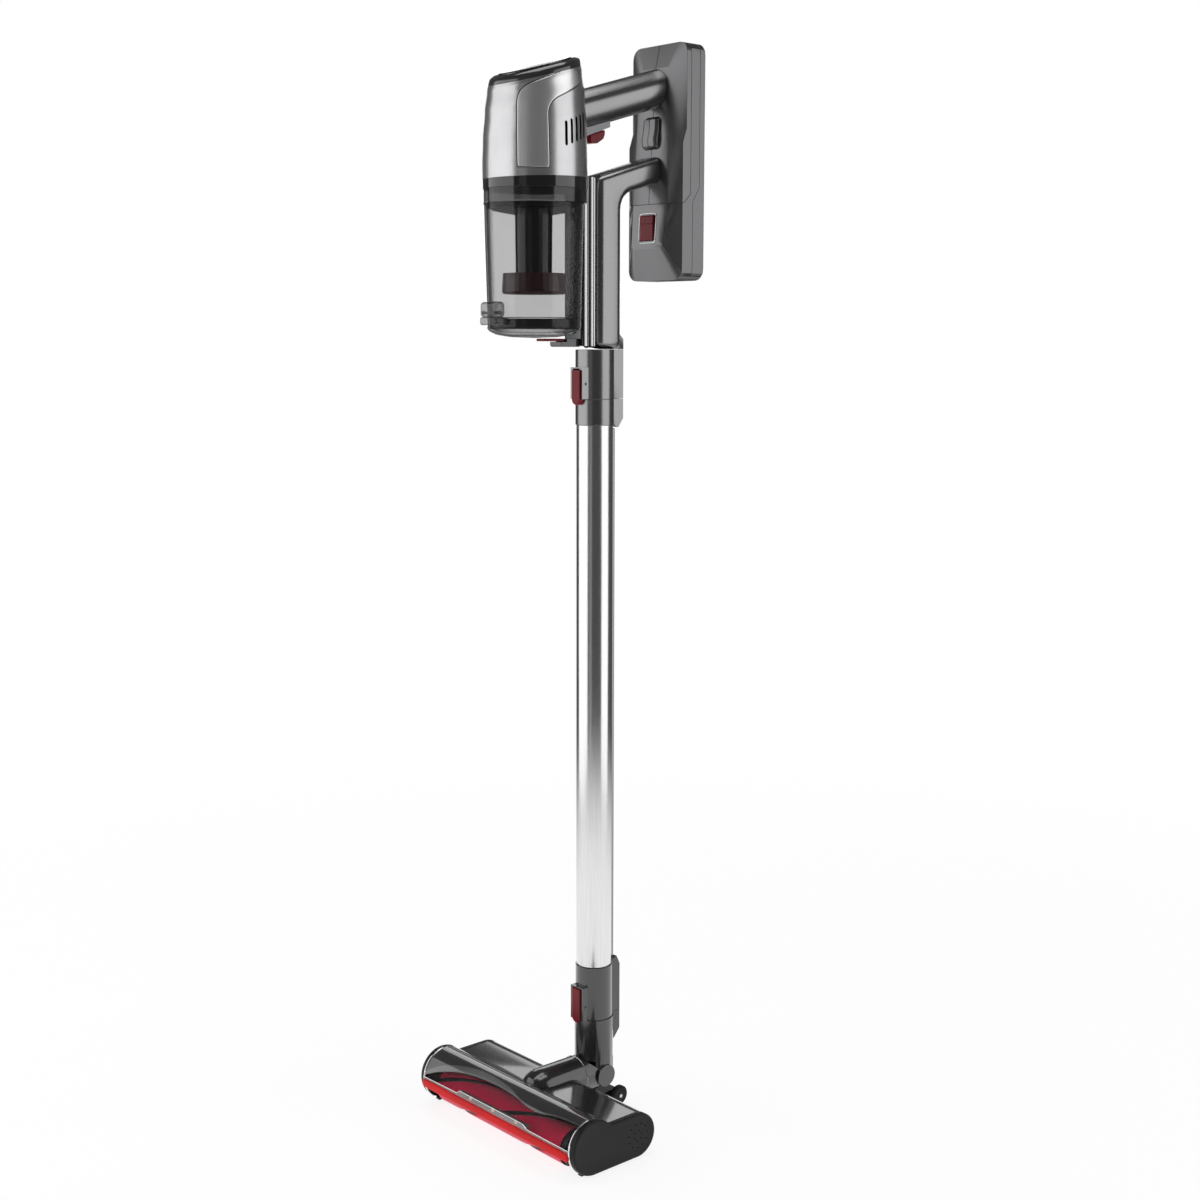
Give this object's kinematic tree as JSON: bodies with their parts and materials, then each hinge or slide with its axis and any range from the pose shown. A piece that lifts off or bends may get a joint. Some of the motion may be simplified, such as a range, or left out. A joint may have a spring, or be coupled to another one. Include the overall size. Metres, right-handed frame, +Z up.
{
  "type": "cordless stick vacuum",
  "caption": "Upright cordless stick vacuum with a soft-roller floor head, tilting neck, aluminium wand, clear dust cup, loop handle and slide-off rear battery.",
  "frame": {"origin": "middle of the footprint at floor level, under the bounding box", "axes": "+Z up along the wand, -Y towards the front of the floor head, +X to the left of a person holding the handle"},
  "size_m": [0.2492, 0.2538, 1.1],
  "materials": {
    "silver_shell": "satin silver",
    "graphite_shell": "glossy dark grey",
    "gunmetal_shell": "metallic grey, semi-gloss",
    "black_plastic": "matte black",
    "black_gloss": "gloss black",
    "red_plastic": "glossy dark red",
    "bumper_red": "soft satin red",
    "roller_nap": "short soft nap",
    "smoke_clear": "clear smoke tint",
    "clear_lens": "clear, polished",
    "aluminium_tube": "satin anodised",
    "steel": "turned",
    "circuit": "green board",
    "cell_wrap": "blue shrink sleeve",
    "black_rubber": "matte black",
    "wheel_tyre": "matte black"
  },
  "bodies": {
    "floor_head": {"head_housing": "graphite_shell", "brush_window": "clear_lens", "brush_cowl": "black_plastic", "base_plate": "black_plastic", "left_end_cap": "black_plastic", "right_end_cap": "black_plastic", "left_brush_bearing": "steel", "right_brush_bearing": "steel", "bumper_strip": "bumper_red", "led_board": "circuit", "led_lens": "clear_lens", "brush_motor": "steel", "drive_belt": "black_rubber", "wheel_bracket": "black_plastic", "rear_axle": "steel", "elbow": "graphite_shell"},
    "brush": {"brush_roller": "roller_nap", "roller_pulley": "black_plastic"},
    "brush_drive": {"motor_pulley": "black_plastic"},
    "wheel_left": {"rear_wheel_left": "wheel_tyre"},
    "wheel_right": {"rear_wheel_right": "wheel_tyre"},
    "roller_left": {"front_roller_left": "wheel_tyre"},
    "roller_right": {"front_roller_right": "wheel_tyre"},
    "swivel": {"yoke": "graphite_shell"},
    "neck": {"neck_tube": "graphite_shell", "left_pivot_pin": "steel", "right_pivot_pin": "steel"},
    "wand": {"wand_tube": "aluminium_tube", "wand_channel": "gunmetal_shell", "lower_collar": "graphite_shell", "wand_top_collar": "gunmetal_shell", "lower_lever_pin": "steel"},
    "lower_lever": {"lower_release_lever": "red_plastic"},
    "handheld": {"nozzle_collar": "gunmetal_shell", "upper_lever_pin": "steel", "spine_duct": "gunmetal_shell", "spine_front": "silver_shell", "motor_housing": "silver_shell", "top_panel": "black_gloss", "filter_band": "smoke_clear", "suction_motor": "black_plastic", "handle": "gunmetal_shell", "trigger_block": "silver_shell", "slab_housing_left": "gunmetal_shell", "slab_housing_right": "gunmetal_shell"},
    "upper_lever": {"upper_release_lever": "red_plastic"},
    "fan": {"impeller": "aluminium_tube"},
    "trigger": {"trigger": "red_plastic"},
    "battery": {"battery_case_front": "gunmetal_shell", "battery_case_rear": "gunmetal_shell", "cell_pack": "cell_wrap"},
    "battery_latch": {"battery_button": "red_plastic"},
    "cup": {"dust_cup": "smoke_clear", "cup_seal": "black_rubber", "cyclone_body": "black_plastic", "cyclone_skirt": "red_plastic", "lid_hinge_pin": "steel"},
    "lid": {"bottom_lid": "smoke_clear", "lid_tail": "gunmetal_shell"},
    "lid_catch": {"lid_slider": "red_plastic"}
  },
  "joints": [
    {"name": "brush_spin", "type": "hinge", "parent": "floor_head", "child": "brush", "pos_m": [0, -0.09645, 0.0198], "axis": [1, 0, 0], "continuous": true},
    {"name": "brush_motor_spin", "type": "hinge", "parent": "floor_head", "child": "brush_drive", "pos_m": [0, -0.04445, 0.024], "axis": [1, 0, 0], "continuous": true},
    {"name": "wheel_left_spin", "type": "hinge", "parent": "floor_head", "child": "wheel_left", "pos_m": [0.0178, 0.03155, 0.0105], "axis": [1, 0, 0], "continuous": true},
    {"name": "wheel_right_spin", "type": "hinge", "parent": "floor_head", "child": "wheel_right", "pos_m": [-0.0178, 0.03155, 0.0105], "axis": [1, 0, 0], "continuous": true},
    {"name": "roller_left_spin", "type": "hinge", "parent": "floor_head", "child": "roller_left", "pos_m": [0.07, -0.06245, 0.005], "axis": [1, 0, 0], "continuous": true},
    {"name": "roller_right_spin", "type": "hinge", "parent": "floor_head", "child": "roller_right", "pos_m": [-0.07, -0.06245, 0.005], "axis": [1, 0, 0], "continuous": true},
    {"name": "head_swivel", "type": "hinge", "parent": "floor_head", "child": "swivel", "pos_m": [0, -0.01445, 0.04], "axis": [0, 1, 0], "range_deg": [-75, 75]},
    {"name": "neck_tilt", "type": "hinge", "parent": "swivel", "child": "neck", "pos_m": [0, 0.00955, 0.04], "axis": [-1, 0, 0], "range_deg": [0, 80]},
    {"name": "wand_pull", "type": "slide", "parent": "neck", "child": "wand", "axis": [0, 0, 1], "range_m": [0, 0.06]},
    {"name": "lower_lever_rock", "type": "hinge", "parent": "wand", "child": "lower_lever", "pos_m": [0, -0.00905, 0.1164], "axis": [-1, 0, 0], "range_deg": [0, 4.5], "stiffness_Nm_per_rad": 0.3, "springref_deg": -8.59},
    {"name": "handheld_pull", "type": "slide", "parent": "wand", "child": "handheld", "axis": [0, 0, 1], "range_m": [0, 0.055]},
    {"name": "upper_lever_rock", "type": "hinge", "parent": "handheld", "child": "upper_lever", "pos_m": [0, -0.00905, 0.7626], "axis": [-1, 0, 0], "range_deg": [0, 4.5], "stiffness_Nm_per_rad": 0.3, "springref_deg": -8.59},
    {"name": "impeller_spin", "type": "hinge", "parent": "handheld", "child": "fan", "pos_m": [0, -0.06535, 0.961], "axis": [0, 0, 1], "continuous": true},
    {"name": "trigger_pull", "type": "slide", "parent": "handheld", "child": "trigger", "axis": [0, 0, 1], "range_m": [0, 0.003], "stiffness_N_per_m": 400, "springref_m": -0.003},
    {"name": "battery_slide", "type": "slide", "parent": "handheld", "child": "battery", "axis": [0, 0, -1], "range_m": [0, 0.16]},
    {"name": "battery_button_push", "type": "slide", "parent": "battery", "child": "battery_latch", "axis": [0, 1, 0], "range_m": [0, 0.0018], "stiffness_N_per_m": 600, "springref_m": -0.002},
    {"name": "cup_slide", "type": "slide", "parent": "handheld", "child": "cup", "axis": [0, -1, 0], "range_m": [0, 0.11]},
    {"name": "lid_open", "type": "hinge", "parent": "cup", "child": "lid", "pos_m": [0, -0.11895, 0.831], "axis": [-1, 0, 0], "range_deg": [0, 95]},
    {"name": "lid_catch_slide", "type": "slide", "parent": "lid", "child": "lid_catch", "axis": [0, -1, 0], "range_m": [0, 0.004], "stiffness_N_per_m": 300, "springref_m": -0.002}
  ],
  "couplings": [
    {"joint": "brush_motor_spin", "follows": "brush_spin", "ratio": 2.3333}
  ]
}
